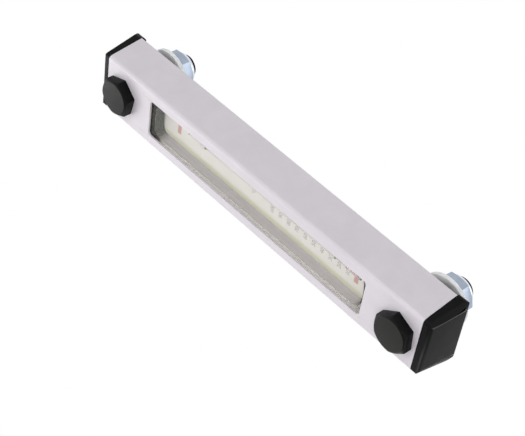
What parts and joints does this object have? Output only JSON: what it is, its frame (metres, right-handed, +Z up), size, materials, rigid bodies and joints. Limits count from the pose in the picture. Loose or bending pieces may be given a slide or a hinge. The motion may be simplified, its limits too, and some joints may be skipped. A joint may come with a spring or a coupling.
{
  "type": "oil level indicator",
  "caption": "Upright oil level indicator for a tank wall: a painted sheet cover with a long window over a clear oil channel, scale and thermometer, on two hollow studs.",
  "frame": {"origin": "midway between the two studs' axes, on the plane of the wall seals' rear faces, where the tank wall lies", "axes": "+Z up along the line of the studs, +X to the right seen from the front, +Y through the wall into the tank"},
  "size_m": [0.0506, 0.0641, 0.301],
  "materials": {
    "cover_paint": "semi-gloss pale grey powder coat",
    "cap_plastic": "black moulded, satin",
    "clear_plastic": "clear moulded, polished",
    "back_plastic": "pale grey moulded, fine matt grain",
    "scale_white": "cream white, printed",
    "thermometer_glass": "polished",
    "thermometer_dye": "red liquid",
    "clip_plastic": "white moulded",
    "black_steel": "black oxide, oiled",
    "seal_rubber": "matt",
    "zinc_steel": "bright zinc, bluish",
    "nylon": "pale nylon"
  },
  "bodies": {
    "gauge": {"cover_housing": "cover_paint", "sight_body": "clear_plastic", "back_cover": "back_plastic", "scale_plate": "scale_white", "thermometer_tube": "thermometer_glass", "thermometer_liquid": "thermometer_dye", "hollow_bolts": "black_steel", "shank_rings": "seal_rubber", "upper_end_cap": "cap_plastic", "upper_wall_seal": "seal_rubber", "upper_thermometer_clip": "clip_plastic", "lower_end_cap": "cap_plastic", "lower_wall_seal": "seal_rubber", "lower_thermometer_clip": "clip_plastic"},
    "upper_washer_body": {"upper_washer": "zinc_steel"},
    "upper_nut_body": {"upper_lock_nut": "zinc_steel", "upper_nut_insert": "nylon"},
    "lower_washer_body": {"lower_washer": "zinc_steel"},
    "lower_nut_body": {"lower_lock_nut": "zinc_steel", "lower_nut_insert": "nylon"}
  },
  "joints": [
    {"name": "upper_washer_slide", "type": "slide", "parent": "gauge", "child": "upper_washer_body", "axis": [0, 1, 0], "range_m": [-0.00205, 0.0158]},
    {"name": "upper_nut_turn", "type": "hinge", "parent": "upper_washer_body", "child": "upper_nut_body", "pos_m": [0, 0.0052, 0.127], "axis": [0, 1, 0], "range_deg": [-480, 3780]},
    {"name": "lower_washer_slide", "type": "slide", "parent": "gauge", "child": "lower_washer_body", "axis": [0, 1, 0], "range_m": [-0.00205, 0.0158]},
    {"name": "lower_nut_turn", "type": "hinge", "parent": "lower_washer_body", "child": "lower_nut_body", "pos_m": [0, 0.0052, -0.127], "axis": [0, 1, 0], "range_deg": [-480, 3780]}
  ],
  "couplings": [
    {"joint": "upper_washer_slide", "follows": "upper_nut_turn", "m_per_rad": 0.00023873},
    {"joint": "lower_washer_slide", "follows": "lower_nut_turn", "m_per_rad": 0.00023873}
  ]
}
